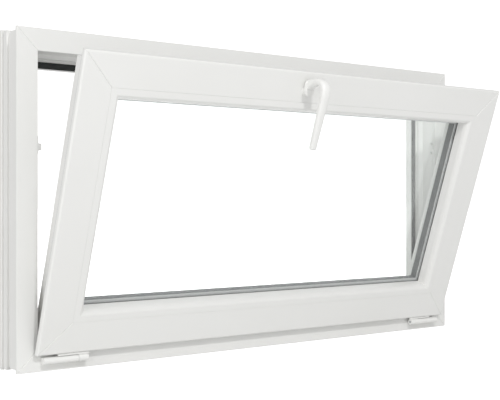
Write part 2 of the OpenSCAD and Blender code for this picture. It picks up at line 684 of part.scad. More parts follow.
// involute tooth outline, worked out from the base circle
base_r = pitch_r * cos(20);
tip_r = pitch_r + gear_m;
root_r = pitch_r - 1.2 * gear_m;
function inv(r) = let (a = acos(base_r / r)) tan(a) * 180 / PI - a;
tooth_half = 90 / pinion_z - (backlash / 2) / pitch_r * 180 / PI;
function flank(side) = [for (i = [0 : 5]) let (r = base_r + (tip_r - base_r) * i / 5,
  a = side * (tooth_half + inv(pitch_r) - inv(r))) r * [sin(a), cos(a)]];
root_half = min(tooth_half * 1.25, 90 / pinion_z * 1.6);
function turned(v, a) = [v[0] * cos(a) + v[1] * sin(a), v[1] * cos(a) - v[0] * sin(a)];
function tooth_outline() = let (up = flank(-1), down = flank(1)) concat(
  [root_r * [-sin(root_half), cos(root_half)]], up,
  [for (i = [len(down) - 1 : -1 : 0]) down[i]], [root_r * [sin(root_half), cos(root_half)]]);
module pinion_section() polygon([for (i = [0 : pinion_z - 1]) each
  [for (v = tooth_outline()) turned(v, 180 + (i + 0.5) * 360 / pinion_z)]]);

hub_r = 6;
module gear_pinion() color(zinc) in_sash() translate([handle_x, 0, spindle_z])
  rotate([-90, 0, 0]) difference() {
    union() {
      translate([0, 0, gear_e0]) linear_extrude(height = gear_e1 - gear_e0) pinion_section();
      translate([0, 0, groove_e - 5.5]) cylinder(r = hub_r, h = 11);
    }
    translate([-spindle_s / 2 - run_fit, -spindle_s / 2 - run_fit, 0])
      cube([spindle_s + 2 * run_fit, spindle_s + 2 * run_fit, 2 * groove_e]);
  }

case_z0 = spindle_z - 12;
case_z1 = spindle_z + pitch_r - 1.9 * gear_m;
module gear_case() color(zinc) in_sash() difference() {
  translate([handle_x - case_half, 0, 0]) {
    for (e = [groove_e - 5.7, groove_e + 3.7]) translate([0, e, case_z0])
      cube([2 * case_half, 2, case_z1 - case_z0]);
    for (x = [0, 2 * case_half - 8]) translate([x, groove_e - 3.71, case_z0])
      cube([8, 7.42, case_z1 - case_z0]);
  }
  translate([handle_x, 0, spindle_z]) rotate([-90, 0, 0])
    cylinder(r = hub_r + run_fit, h = 2 * groove_e);
}

// corner drive: two legs over the groove and a spring band bent round the corner
band_r = 10;
module corner_plates() {
  translate([0, groove_e - ledge_w / 2 + fit, 0]) {
    translate([corner_in, 0, plate_c]) cube([corner_leg, ledge_w - 2 * fit, plate_t]);
    translate([plate_c, 0, corner_in]) cube([plate_t, ledge_w - 2 * fit, corner_leg]);
    translate([plate_c, 0, plate_c]) cube([plate_t + 0.21, ledge_w - 2 * fit, corner_in - plate_c + 0.01]);
    translate([plate_c, 0, plate_c]) cube([corner_in - plate_c + 0.01, ledge_w - 2 * fit, plate_t]);
  }
}
band_leg = band_end - 2 - rod_c - band_r;
module corner_band() translate([0, groove_e - 4, 0]) {
  translate([rod_c + band_r, 0, rod_c]) cube([band_leg, 8, 1]);
  translate([rod_c, 0, rod_c + band_r]) cube([1, 8, band_leg]);
  translate([rod_c + band_r, 0, rod_c + band_r]) rotate([-90, 0, 0]) intersection() {
    difference() {
      cylinder(r = band_r, h = 8);
      translate([0, 0, -1]) cylinder(r = band_r - 1, h = 10);
    }
    translate([-band_r - 1, 0, -1]) cube([band_r + 1, band_r + 1, 10]);
  }
}
module corner_drive(s) translate([s * sash_w / 2, 0, sash_h]) mirror([s > 0 ? 1 : 0, 0, 0])
  mirror([0, 0, 1]) { corner_plates(); corner_band(); }
module corner_drive_left() color(zinc) in_sash() difference() {
  corner_drive(-1);
  faceplate_screw_set(fit);
}
module corner_drive_right() color(zinc) in_sash() difference() {
  corner_drive(1);
  faceplate_screw_set(fit);
}

// ---------- handle ----------

collar_w = 18;
collar_h = 20;
collar_t = 4;
journal_r = 7;
module stadium(w, h, t) {
  for (z = [-1, 1]) translate([0, 0, z * (h - w) / 2]) rotate([90, 0, 0])
    cylinder(r = w / 2, h = t);
  translate([-w / 2, -t, -(h - w) / 2]) cube([w, t, h - w]);
}
module at_handle() in_sash() translate([handle_x, 0, spindle_z]) children();

module handle_collar() color(white) at_handle() difference() {
  union() {
    stadium(collar_w, collar_h, collar_t - 1);
    translate([0, -collar_t + 1.01, 0]) stadium(collar_w - 2, collar_h - 2, 1);
    rotate([-90, 0, 0]) cylinder(r = 8 - fit, h = 9);
  }
  translate([0, -collar_t - 1, 0]) rotate([-90, 0, 0])
    cylinder(r = journal_r + run_fit, h = collar_t + 12);
}

// the lever starts as a tall boss on the collar, mostly above its axis; its middle line leaves
// the boss's upper half, bends over and hangs beside the sash
boss_w = 20;
boss_h = 31;
boss_up = 7.5;                             // boss's middle above the axis
boss_e = 12;                               // front of the boss from the sash face
neck = [[-boss_e + 3, boss_up + 4], [-24, 28], [-lever_out - 4, 36], [-lever_out, -4]];
function bez(p, t) = pow(1 - t, 3) * p[0] + 3 * t * pow(1 - t, 2) * p[1]
  + 3 * t * t * (1 - t) * p[2] + pow(t, 3) * p[3];
neck_rings = 14;
grip_rings = 10;
tip_rings = 5;
function grip_line(t) = [neck[3][0] + 2 * t, neck[3][1] + t * (-lever_len + 5 - neck[3][1])];
lever_line = concat(
  [for (i = [0 : neck_rings]) bez(neck, i / neck_rings)],
  [for (i = [1 : grip_rings]) grip_line(i / grip_rings)],
  [for (i = [1 : tip_rings]) grip_line(1) + [0, -5 * sin(90 * i / tip_rings)]]);
ring_n = len(lever_line);
lever_sides = 20;
function mix(a, b, t) = a + (b - a) * t;
// half width across the lever and half thickness, ring by ring
function half_w(i) = i <= neck_rings ? 9.4
  : i <= neck_rings + grip_rings ? mix(9.4, 6.8, (i - neck_rings) / grip_rings)
  : 6.8 * max(cos(90 * (i - neck_rings - grip_rings) / tip_rings), 0.12);
function half_t(i) = i <= neck_rings ? mix(8.6, 6.2, min(1, i / neck_rings * 1.6))
  : i <= neck_rings + grip_rings ? mix(6.2, 5, (i - neck_rings) / grip_rings)
  : 5 * max(cos(90 * (i - neck_rings - grip_rings) / tip_rings), 0.12);
function along(i) = let (a = lever_line[max(i - 1, 0)], b = lever_line[min(i + 1, ring_n - 1)],
  v = i == 0 ? [-1, 0] : b - a) v / norm(v);
function lever_ring(i) = let (p = lever_line[i], v = along(i), n = [-v[1], v[0]])
  [for (k = [0 : lever_sides - 1]) let (a = -360 * k / lever_sides, q = half_t(i) * sin(a))
    [half_w(i) * cos(a), p[0] + n[0] * q, p[1] + n[1] * q]];
module lever_body() polyhedron(
  points = [for (i = [0 : ring_n - 1]) each lever_ring(i)],
  faces = concat(
    [[for (k = [0 : lever_sides - 1]) k]],
    [for (i = [0 : ring_n - 2], k = [0 : lever_sides - 1]) let (j = (k + 1) % lever_sides)
      each [[i * lever_sides + k, (i + 1) * lever_sides + k, (i + 1) * lever_sides + j],
            [i * lever_sides + k, (i + 1) * lever_sides + j, i * lever_sides + j]]],
    [[for (k = [lever_sides - 1 : -1 : 0]) (ring_n - 1) * lever_sides + k]]));

socket_d = boss_e - 2;
grub_r = 2;
module handle_lever() color(white) at_handle() difference() {
  union() {
    lever_body();
    translate([0, -collar_t - 0.4, boss_up]) stadium(boss_w, boss_h, boss_e - collar_t - 0.4);
    translate([0, -collar_t - 1, 0]) rotate([-90, 0, 0]) cylinder(r = journal_r, h = collar_t + 5);
  }
  translate([-spindle_s / 2 - fit, -socket_d - fit, -spindle_s / 2 - fit])
    cube([spindle_s + 2 * fit, socket_d + 20, spindle_s + 2 * fit]);
  translate([0, -8, -20]) cylinder(r = grub_r + fit, h = 20);
}
module handle_spindle() color(zinc) at_handle()
  translate([-spindle_s / 2, -socket_d, -spindle_s / 2])
    cube([spindle_s, socket_d + groove_e + 5, spindle_s]);
module handle_grub_screw() color(zinc) at_handle() translate([0, -8, -spindle_s / 2 - 4.7])
  difference() {
    cylinder(r = grub_r, h = 4.6);
    translate([0, 0, -0.1]) cylinder(r = 1, h = 2, $fn = 6);
  }

// ---------- stay ----------

bracket_x = jamb_x - 3;
module bracket_screw_set(grow) for (z = [-14, 14])
  translate([bracket_x, cam_d, stay_z + z]) rotate([0, 90, 0])
    csk_screw(1.8 + grow, 12 + grow, 3.4 + grow);

module stay_bracket() color(zinc) in_frame() difference() {
  union() {
    translate([bracket_x, cam_d - 7, stay_z - 22]) cube([3, 14, 44]);
    translate([arm_x - 1.6, cam_d, stay_z]) rotate([0, 90, 0])
      cylinder(r = stay_pin_r, h = bracket_x - arm_x + 2);
    translate([arm_x - 1.6, cam_d, stay_z]) rotate([0, 90, 0])
      cylinder(r = stay_pin_r + 2, h = 1.3);
  }
  bracket_screw_set(fit);
}
module stay_bracket_screws() color(zinc) in_frame() bracket_screw_set(0);

module stay_arm() color(zinc) in_frame() translate([arm_x, cam_d, stay_z])
  rotate([arm_turn, 0, 0]) difference() {
    union() {
      for (z = [0, stay_len]) translate([0, 0, z]) rotate([0, 90, 0])
        cylinder(r = 7.5, h = arm_t);
      translate([0, -7.5, 0]) cube([arm_t, 15, stay_len]);
    }
    for (z = [0, stay_len]) translate([-1, 0, z]) rotate([0, 90, 0])
      cylinder(r = stay_pin_r + run_fit, h = arm_t + 2);
  }

// the shoe slides in the groove behind the track plate
shoe_w = 9.5;
shoe_half = 12;
shoe_t = 4;
module stay_shoe() color(black) in_sash() translate([0, groove_e, shoe_h]) {
  translate([side_x - plate_t - 1.2 - shoe_t, -shoe_w / 2, -shoe_half])
    cube([shoe_t, shoe_w, 2 * shoe_half]);
  translate([side_x - plate_t - 1.3, 0, 0]) rotate([0, 90, 0])
    cylinder(r = stay_pin_r, h = arm_x + arm_t + 0.8 - side_x + plate_t + 1.3);
}
module stay_track() color(zinc) in_sash() difference() {
  translate([side_x - 0.3 - plate_t, groove_e - ledge_w / 2 + fit, track_h0 - track_end])
    cube([plate_t, ledge_w - 2 * fit, track_h1 - track_h0 + 2 * track_end]);
  translate([side_x - 10, groove_e - stay_pin_r - 1.2, track_h0])
    cube([20, 2 * stay_pin_r + 2.4, track_h1 - track_h0]);
}

frame_head();
frame_sill();
frame_jamb_left();
frame_jamb_right();
frame_steels();
frame_gasket("top");  // frame_gasket_top
frame_gasket("bottom");  // frame_gasket_bottom
frame_gasket("left");  // frame_gasket_left
frame_gasket("right");  // frame_gasket_right
drain_caps();
keepers_top();
keeper_left();
keeper_right();
keeper_screws();
hinge_frame_left();
hinge_frame_right();
hinge_studs();
hinge_pins();
hinge_caps();
stay_bracket();
stay_bracket_screws();
sash_top_rail();
sash_bottom_rail();
sash_left_stile();
sash_right_stile();
sash_steels();
bead_top();
bead_bottom();
bead_left();
bead_right();
inner_pane();
outer_pane();
spacer_bars();
edge_seal();
setting_blocks();
glazing_gasket_inner();
glazing_gasket_outer();
overlap_gasket();
faceplate_top();
faceplate_left();
faceplate_right();
faceplate_screws();
corner_drive_left();
corner_drive_right();
gear_case();
handle_collar();
hinge_sash_left();
hinge_sash_right();
hinge_sash_screws();
stay_track();
handle_lever();
handle_spindle();
handle_grub_screw();
gear_pinion();
drive_rod_top();
drive_rod_left();
drive_rod_right();
stay_arm();
stay_shoe();
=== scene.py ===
import bpy
import bmesh
import json
import math
from mathutils import Matrix, Vector


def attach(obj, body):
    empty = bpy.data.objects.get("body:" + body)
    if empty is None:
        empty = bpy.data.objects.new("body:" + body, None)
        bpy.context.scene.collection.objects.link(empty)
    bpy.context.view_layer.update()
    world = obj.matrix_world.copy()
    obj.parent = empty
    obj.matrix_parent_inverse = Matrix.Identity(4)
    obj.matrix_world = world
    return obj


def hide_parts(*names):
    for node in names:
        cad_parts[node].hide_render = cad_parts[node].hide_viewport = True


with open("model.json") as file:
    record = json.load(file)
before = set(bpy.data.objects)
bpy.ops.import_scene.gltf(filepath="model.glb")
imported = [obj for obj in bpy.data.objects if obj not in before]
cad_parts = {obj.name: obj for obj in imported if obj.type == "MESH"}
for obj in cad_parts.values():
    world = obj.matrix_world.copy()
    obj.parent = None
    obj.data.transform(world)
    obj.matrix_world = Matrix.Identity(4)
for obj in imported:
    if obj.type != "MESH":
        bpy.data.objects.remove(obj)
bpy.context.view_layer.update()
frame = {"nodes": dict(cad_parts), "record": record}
nodes = frame["nodes"]
joints = {j["name"]: j for j in frame["record"]["behaviour"]["joints"]}
print("frame loaded:", len(nodes), "nodes")

# the frame's directions, and the open sash's own from its handle joint: out of its face, and up it
sideways = Vector((1, 0, 0))
handleAt = Vector(joints["handle_turn"]["pos_m"])
faceOut = Vector(joints["handle_turn"]["axis"]).normalized()
faceUp = faceOut.cross(sideways).normalized()
tiltAngle = math.atan2(-faceUp.y, faceUp.z)
frameAxes = {"up": Vector((0, 0, 1)), "out": Vector((0, -1, 0))}
sashAxes = {"up": faceUp, "out": faceOut}


def hexColor(text):
    parts = [int(text[i:i + 2], 16) / 255 for i in (1, 3, 5)]
    return tuple(p / 12.92 if p <= 0.04045 else ((p + 0.055) / 1.055) ** 2.4 for p in parts) + (1,)


def addNode(tree, kind, values=None, links=None, **settings):
    node = tree.nodes.new(kind)
    for name, value in settings.items():
        setattr(node, name, value)
    for name, value in (values or {}).items():
        node.inputs[name].default_value = value
    for name, source in (links or {}).items():
        tree.links.new(source, node.inputs[name])
    return node


def startMaterial(name, look):
    material = bpy.data.materials.new(name)
    material.use_nodes = True
    tree = material.node_tree
    tree.nodes.clear()
    shader = addNode(tree, "ShaderNodeBsdfPrincipled", look)
    addNode(tree, "ShaderNodeOutputMaterial", links={"Surface": shader.outputs["BSDF"]})
    coords = addNode(tree, "ShaderNodeTexCoord")
    return material, tree, shader, coords.outputs["Object"]


# one pattern mixes the two colours, one varies the roughness and one gives the relief
def coverSurface(tree, shader, s, tintBy, roughBy, heightBy):
    tint = addNode(tree, "ShaderNodeMix", {"A": hexColor(s["color"]), "B": hexColor(s["otherColor"])},
                   {"Factor": tintBy}, data_type="RGBA")
    rough = addNode(tree, "ShaderNodeMapRange", {"To Min": s["roughness"][0], "To Max": s["roughness"][1]},
                    {"Value": roughBy})
    bump = addNode(tree, "ShaderNodeBump", {"Strength": s["relief"], "Distance": s["reliefMm"] / 1000},
                   {"Height": heightBy})
    tree.links.new(tint.outputs["Result"], shader.inputs["Base Color"])
    tree.links.new(rough.outputs[0], shader.inputs["Roughness"])
    tree.links.new(bump.outputs[0], shader.inputs["Normal"])


# extruded uPVC: polished by the die, so satin, with faint draw lines along each bar
profileLook = {
    "color": "#F1F1EF", "otherColor": "#ECECE9", "roughness": (0.25, 0.37), "ior": 1.53,
    "lineMm": 1.6, "linesAlong": 1.5, "relief": 0.25, "reliefMm": 0.012, "cloudMm": 180.0}


def extrudedPvc(name, runsAcross, tilt):
    s = profileLook
    material, tree, shader, coords = startMaterial(name, {"IOR": s["ior"]})
    turned = addNode(tree, "ShaderNodeMapping", {"Rotation": (-tilt, 0, 0)}, {"Vector": coords})
    # draw lines: noise stretched along the bar, lineMm apart across it
    fine, long = 1000 / s["lineMm"], s["linesAlong"]
    stretch = (long, fine, fine) if runsAcross else (fine, fine, long)
    drawn = addNode(tree, "ShaderNodeMapping", {"Scale": stretch}, {"Vector": turned.outputs[0]})
    lines = addNode(tree, "ShaderNodeTexNoise", {"Scale": 1.0, "Detail": 2.0}, {"Vector": drawn.outputs[0]})
    cloud = addNode(tree, "ShaderNodeTexNoise", {"Scale": 1000 / s["cloudMm"], "Detail": 1.0},
                    {"Vector": coords})
    coverSurface(tree, shader, s, cloud.outputs["Fac"], lines.outputs["Fac"], lines.outputs["Fac"])
    return material


grainRelief = 0.3
smoother, rougher = 0.06, 0.08


def grainyMaterial(name, color, otherColor, roughness, grainMm, reliefMm, **look):
    material, tree, shader, coords = startMaterial(name, look)
    grain = addNode(tree, "ShaderNodeTexNoise", {"Scale": 1000 / grainMm, "Detail": 3.0},
                    {"Vector": coords}).outputs["Fac"]
    coverSurface(tree, shader, {
        "color": color, "otherColor": otherColor, "roughness": (roughness - smoother, roughness + rougher),
        "relief": grainRelief, "reliefMm": reliefMm}, grain, grain, grain)
    return material


# float glass: flat and clear, a breath of green from its iron
def floatGlass(name):
    look = {"Base Color": hexColor("#FDFFFE"), "IOR": 1.45, "Roughness": 0.0, "Transmission Weight": 1.0}
    return startMaterial(name, look)[0]


# warm-edge spacer: dull grey plastic, and bright foil where its sides lie against the panes
spacerLook = {
    "color": "#717374", "otherColor": "#D5D6D6", "roughness": (0.5, 0.35), "ior": 1.49,
    "foilFacing": 0.7, "grainMm": 1.5, "relief": 0.2, "reliefMm": 0.03}


def foiledSpacer(name):
    s = spacerLook
    material, tree, shader, coords = startMaterial(name, {"IOR": s["ior"]})
    turned = addNode(tree, "ShaderNodeTexCoord")
    facing = addNode(tree, "ShaderNodeVectorMath", {1: tuple(faceOut)}, {0: turned.outputs["Normal"]},
                     operation="DOT_PRODUCT")
    size = addNode(tree, "ShaderNodeMath", links={0: facing.outputs["Value"]}, operation="ABSOLUTE")
    foil = addNode(tree, "ShaderNodeMath", {1: s["foilFacing"]}, {0: size.outputs[0]},
                   operation="GREATER_THAN")
    grain = addNode(tree, "ShaderNodeTexNoise", {"Scale": 1000 / s["grainMm"], "Detail": 2.0},
                    {"Vector": coords})
    coverSurface(tree, shader, s, foil.outputs[0], foil.outputs[0], grain.outputs["Fac"])
    return material


finish = {
    "frameAcross": extrudedPvc("extrudedPvcAcross", True, 0),
    "frameUpright": extrudedPvc("extrudedPvcUpright", False, 0),
    "sashAcross": extrudedPvc("extrudedPvcSashAcross", True, tiltAngle),
    "sashUpright": extrudedPvc("extrudedPvcSashUpright", False, tiltAngle),
    # EPDM rubber: extruded and cured, dull black with a dry bloom
    "epdm": grainyMaterial("epdmRubber", "#1F2221", "#2B2E2D", 0.62, 2.0, 0.02, IOR=1.5),
    # soft PVC seal, pale grey, a little duller than the profile
    "greySeal": grainyMaterial("softPvcSeal", "#B9BBBB", "#AEB0B0", 0.5, 3.0, 0.02, IOR=1.5),
    "glass": floatGlass("floatGlass"),
    # polysulphide sealant at the glass edge: cast, dark and dull
    "edgeSeal": grainyMaterial("polysulphideSealant", "#26282A", "#1C1E20", 0.6, 4.0, 0.05, IOR=1.5),
    "spacer": foiledSpacer("foiledPolypropylene"),
    # zinc-plated and passivated steel: bluish grey, slightly cloudy
    "zinc": grainyMaterial("zincPlatedSteel", "#C6C9CC", "#AEB2B6", 0.34, 6.0, 0.02, Metallic=1.0),
    # powder coat on die-cast zinc: white, fine orange peel drawn at 1.4 mm so that it shows
    "powder": grainyMaterial("powderCoatedZinc", "#F4F4F2", "#EFEFEC", 0.27, 1.4, 0.02, IOR=1.5),
    # polypropylene packers, moulded in colour
    "packer": grainyMaterial("polypropylene", "#3F6FA8", "#38649A", 0.45, 2.5, 0.02, IOR=1.49),
    # black acetal slider, moulded, waxy
    "acetal": grainyMaterial("acetal", "#232424", "#2A2B2B", 0.36, 2.0, 0.01, IOR=1.48)}

# the bars and beads by the way their draw lines run, every other node by its slot
barFinish = {
    "frame_head": "frameAcross", "frame_sill": "frameAcross", "drain_caps": "frameAcross",
    "frame_jamb_left": "frameUpright", "frame_jamb_right": "frameUpright",
    "sash_top_rail": "sashAcross", "sash_bottom_rail": "sashAcross",
    "bead_top": "sashAcross", "bead_bottom": "sashAcross",
    "sash_left_stile": "sashUpright", "sash_right_stile": "sashUpright",
    "bead_left": "sashUpright", "bead_right": "sashUpright"}
slotFinish = {
    "black_gasket": "epdm", "grey_gasket": "greySeal", "edge_sealant": "edgeSeal",
    "clear_glass": "glass", "spacer_metal": "spacer", "block_plastic": "packer",
    "zinc_steel": "zinc", "white_enamel": "powder", "slide_plastic": "acetal"}
slotOf = {p["node"]: p["material_slot"] for p in frame["record"]["subparts"]}
for name, obj in nodes.items():
    key = barFinish.get(name) or slotFinish[slotOf[name]]
    obj.data.materials.clear()
    obj.data.materials.append(finish[key])
# clear glass lets the studio's light through to what stands behind it
for name in ("inner_pane", "outer_pane"):
    nodes[name].visible_shadow = False
    nodes[name].visible_diffuse = False
print("materials on", len(nodes), "nodes")

samePoint = 1e-6
smoothBelow = math.radians(35)


# how far the named nodes reach along a direction
def reach(names, direction):
    spans = [v.co.dot(direction) for name in names for v in nodes[name].data.vertices]
    return min(spans), max(spans)


def addPiece(name, mesh, material, body, replaced):
    mesh.name = name
    mesh.materials.clear()
    mesh.materials.append(material)
    shape = bmesh.new()
    shape.from_mesh(mesh)
    bmesh.ops.remove_doubles(shape, verts=shape.verts, dist=samePoint)
    bmesh.ops.recalc_face_normals(shape, faces=shape.faces)
    for edge in shape.edges:
        edge.smooth = len(edge.link_faces) == 2 and edge.calc_face_angle(0) < smoothBelow
    for face in shape.faces:
        face.smooth = True
        face.material_index = 0
    shape.to_mesh(mesh)
    shape.free()
    piece = bpy.data.objects.new(name, mesh)
    bpy.context.scene.collection.objects.link(piece)
    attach(piece, body)
    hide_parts(*replaced)
    return piece


def startTree(name, inputs):
    tree = bpy.data.node_groups.new(name, "GeometryNodeTree")
    for label, kind in inputs.items():
        tree.interface.new_socket(label, in_out="INPUT", socket_type="NodeSocket" + kind)
    tree.interface.new_socket("Geometry", in_out="OUTPUT", socket_type="NodeSocketGeometry")
    return tree, addNode(tree, "NodeGroupInput").outputs


def growMesh(tree, values, start=None):
    seed = bpy.data.objects.new("seed", start or bpy.data.meshes.new("seed"))
    bpy.context.scene.collection.objects.link(seed)
    grow = seed.modifiers.new("grow", "NODES")
    grow.node_group = tree
    for socket in tree.interface.items_tree:
        if socket.name in values:
            grow[socket.identifier] = values[socket.name]
    evaluated = bpy.context.evaluated_depsgraph_get()
    mesh = bpy.data.meshes.new_from_object(seed.evaluated_get(evaluated), depsgraph=evaluated)
    bpy.data.objects.remove(seed)
    return mesh


# gasket: a rounded lip swept round a loop whose corners bend tightly, in this many steps each
cornerSteps, lipSteps = 6, 5
gasketTree, given = startTree("gasketLoop", {
    "Loop Width": "Float", "Loop Height": "Float", "Corner": "Float",
    "Lip Width": "Float", "Lip Thickness": "Float", "Lip Round": "Float", "Finish": "Material"})
loop = addNode(gasketTree, "GeometryNodeCurvePrimitiveQuadrilateral", links={
    "Width": given["Loop Width"], "Height": given["Loop Height"]})
bent = addNode(gasketTree, "GeometryNodeFilletCurve", {"Count": cornerSteps, "Limit Radius": True}, {
    "Curve": loop.outputs[0], "Radius": given["Corner"]}, mode="POLY")
lip = addNode(gasketTree, "GeometryNodeCurvePrimitiveQuadrilateral", links={
    "Width": given["Lip Width"], "Height": given["Lip Thickness"]})
softLip = addNode(gasketTree, "GeometryNodeFilletCurve", {"Count": lipSteps, "Limit Radius": True}, {
    "Curve": lip.outputs[0], "Radius": given["Lip Round"]}, mode="POLY")
swept = addNode(gasketTree, "GeometryNodeCurveToMesh", links={
    "Curve": bent.outputs[0], "Profile Curve": softLip.outputs[0]})
real = addNode(gasketTree, "GeometryNodeRealizeInstances", links={"Geometry": swept.outputs[0]})
dressed = addNode(gasketTree, "GeometryNodeSetMaterial", links={
    "Geometry": real.outputs[0], "Material": given["Finish"]})
addNode(gasketTree, "NodeGroupOutput", links={"Geometry": dressed.outputs[0]})

# sizes in mm: the lip's width in the window's plane, its thickness and rounding, the bend at the corners;
# side says which side of the frame model's gasket it keeps to, the room's or the outdoor one
gaskets = {
    "frameGasket": {
        "nodes": ["frame_gasket_" + side for side in ("top", "bottom", "left", "right")],
        "axes": frameAxes, "body": "frame", "finish": "epdm", "slot": "black_gasket",
        "width": 12, "thickness": 2.7, "round": 1.1, "corner": 7.5, "side": "room"},
    "paneGasketRoom": {
        "nodes": ["glazing_gasket_inner"],
        "axes": sashAxes, "body": "sash", "finish": "epdm", "slot": "black_gasket",
        "width": 8.4, "thickness": 1.5, "round": 0.6, "corner": 5.0, "side": "room"},
    "paneGasketOutdoor": {
        "nodes": ["glazing_gasket_outer"],
        "axes": sashAxes, "body": "sash", "finish": "epdm", "slot": "black_gasket",
        "width": 8, "thickness": 3.5, "round": 1.2, "corner": 5.0, "side": "room"},
    "overlapSeal": {
        "nodes": ["overlap_gasket"],
        "axes": sashAxes, "body": "sash", "finish": "greySeal", "slot": "grey_gasket",
        "width": 5.7, "thickness": 2.7, "round": 1.1, "corner": 4.0, "side": "outdoor"}}
for name, s in gaskets.items():
    up, out = s["axes"]["up"], s["axes"]["out"]
    (x0, x1), (z0, z1), (d0, d1) = (reach(s["nodes"], v) for v in (sideways, up, out))
    depth = d1 - s["thickness"] / 2000 if s["side"] == "room" else d0 + s["thickness"] / 2000
    mesh = growMesh(gasketTree, {
        "Loop Width": x1 - x0 - s["width"] / 1000, "Loop Height": z1 - z0 - s["width"] / 1000,
        "Corner": s["corner"] / 1000, "Lip Width": s["width"] / 1000,
        "Lip Thickness": s["thickness"] / 1000, "Lip Round": s["round"] / 1000,
        "Finish": finish[s["finish"]]})
    centre = sideways * (x0 + x1) / 2 + up * (z0 + z1) / 2 + out * depth
    turn = Matrix((sideways, up, out)).transposed().to_4x4()
    mesh.transform(Matrix.Translation(centre) @ turn)
    addPiece(name, mesh, finish[s["finish"]], s["body"], s["nodes"])
print("gaskets swept:", len(gaskets))

# countersunk screw with a cross recess, one at each place and along each axis given
headSides, shankSides = 28, 16
screwTree, given = startTree("crossScrews", {
    "Places": "Geometry", "Shank Radius": "Float", "Head Radius": "Float", "Length": "Float",
    "Recess Width": "Float", "Recess Length": "Float", "Recess Depth": "Float", "Finish": "Material"})
headDepth = addNode(screwTree, "ShaderNodeMath", operation="SUBTRACT", links={
    0: given["Head Radius"], 1: given["Shank Radius"]})
head = addNode(screwTree, "GeometryNodeMeshCone", {"Vertices": headSides}, {
    "Radius Top": given["Shank Radius"], "Radius Bottom": given["Head Radius"],
    "Depth": headDepth.outputs[0]})
shank = addNode(screwTree, "GeometryNodeMeshCylinder", {"Vertices": shankSides}, {
    "Radius": given["Shank Radius"], "Depth": given["Length"]})
halfLength = addNode(screwTree, "ShaderNodeMath", {1: 0.5}, {0: given["Length"]},
                     operation="MULTIPLY")
lowered = addNode(screwTree, "ShaderNodeCombineXYZ", links={"Z": halfLength.outputs[0]})
shankSet = addNode(screwTree, "GeometryNodeTransform", links={
    "Geometry": shank.outputs[0], "Translation": lowered.outputs[0]})
solid = addNode(screwTree, "GeometryNodeMeshBoolean", operation="UNION")
screwTree.links.new(head.outputs[0], solid.inputs["Mesh 2"])
screwTree.links.new(shankSet.outputs[0], solid.inputs["Mesh 2"])
# the recess is two crossed blocks, half of each outside the head's face
doubled = addNode(screwTree, "ShaderNodeMath", {1: 2.0}, {0: given["Recess Depth"]},
                  operation="MULTIPLY")
sizeA = addNode(screwTree, "ShaderNodeCombineXYZ", links={
    "X": given["Recess Length"], "Y": given["Recess Width"], "Z": doubled.outputs[0]})
sizeB = addNode(screwTree, "ShaderNodeCombineXYZ", links={
    "X": given["Recess Width"], "Y": given["Recess Length"], "Z": doubled.outputs[0]})
slotA = addNode(screwTree, "GeometryNodeMeshCube", links={"Size": sizeA.outputs[0]})
slotB = addNode(screwTree, "GeometryNodeMeshCube", links={"Size": sizeB.outputs[0]})
recessed = addNode(screwTree, "GeometryNodeMeshBoolean", links={"Mesh 1": solid.outputs[0]},
                   operation="DIFFERENCE")
screwTree.links.new(slotA.outputs[0], recessed.inputs["Mesh 2"])
screwTree.links.new(slotB.outputs[0], recessed.inputs["Mesh 2"])
along = addNode(screwTree, "GeometryNodeInputNamedAttribute", {"Name": "along"},
                data_type="FLOAT_VECTOR")
aimed = addNode(screwTree, "FunctionNodeAlignRotationToVector", links={"Vector": along.outputs[0]},
                axis="Z")
placed = addNode(screwTree, "GeometryNodeInstanceOnPoints", links={
    "Points": given["Places"], "Instance": recessed.outputs[0], "Rotation": aimed.outputs[0]})
real = addNode(screwTree, "GeometryNodeRealizeInstances", links={"Geometry": placed.outputs[0]})
dressed = addNode(screwTree, "GeometryNodeSetMaterial", links={
    "Geometry": real.outputs[0], "Material": given["Finish"]})
addNode(screwTree, "NodeGroupOutput", links={"Geometry": dressed.outputs[0]})


screwWays = (sideways, frameAxes["up"], frameAxes["out"], faceUp, faceOut)
levelWithin = 2e-5


# the points that lie level at either end of a direction
def endRings(points, way):
    heights = [p.dot(way) for p in points]
    return [[p for p, height in zip(points, heights) if abs(height - end) < levelWithin]
            for end in (min(heights), max(heights))]


# the points of each loose solid of a mesh
def looseSolids(shape):
    seen, solids = set(), []
    for first in shape.verts:
        if first in seen:
            continue
        seen.add(first)
        island, queue = [], [first]
        while queue:
            vert = queue.pop()
            island.append(vert.co)
            others = [edge.other_vert(vert) for edge in vert.link_edges]
            queue += [v for v in others if v not in seen]
            seen.update(others)
        solids.append(island)
    return solids


# each loose solid of the node is one screw: its flat ends give its axis, and the wider one is its head
def screwPlaces(name):
    shape = bmesh.new()
    shape.from_mesh(nodes[name].data)
    bmesh.ops.remove_doubles(shape, verts=shape.verts, dist=samePoint)
    found = []
    for points in looseSolids(shape):
        rings = max((endRings(points, way) for way in screwWays), key=lambda pair: min(map(len, pair)))
        centres = [sum(ring, Vector()) / len(ring) for ring in rings]
        widths = [max((p - c).length for p in ring) for ring, c in zip(rings, centres)]
        wide = widths.index(max(widths))
        found.append((centres[wide], (centres[1 - wide] - centres[wide]).normalized()))
    shape.free()
    return found


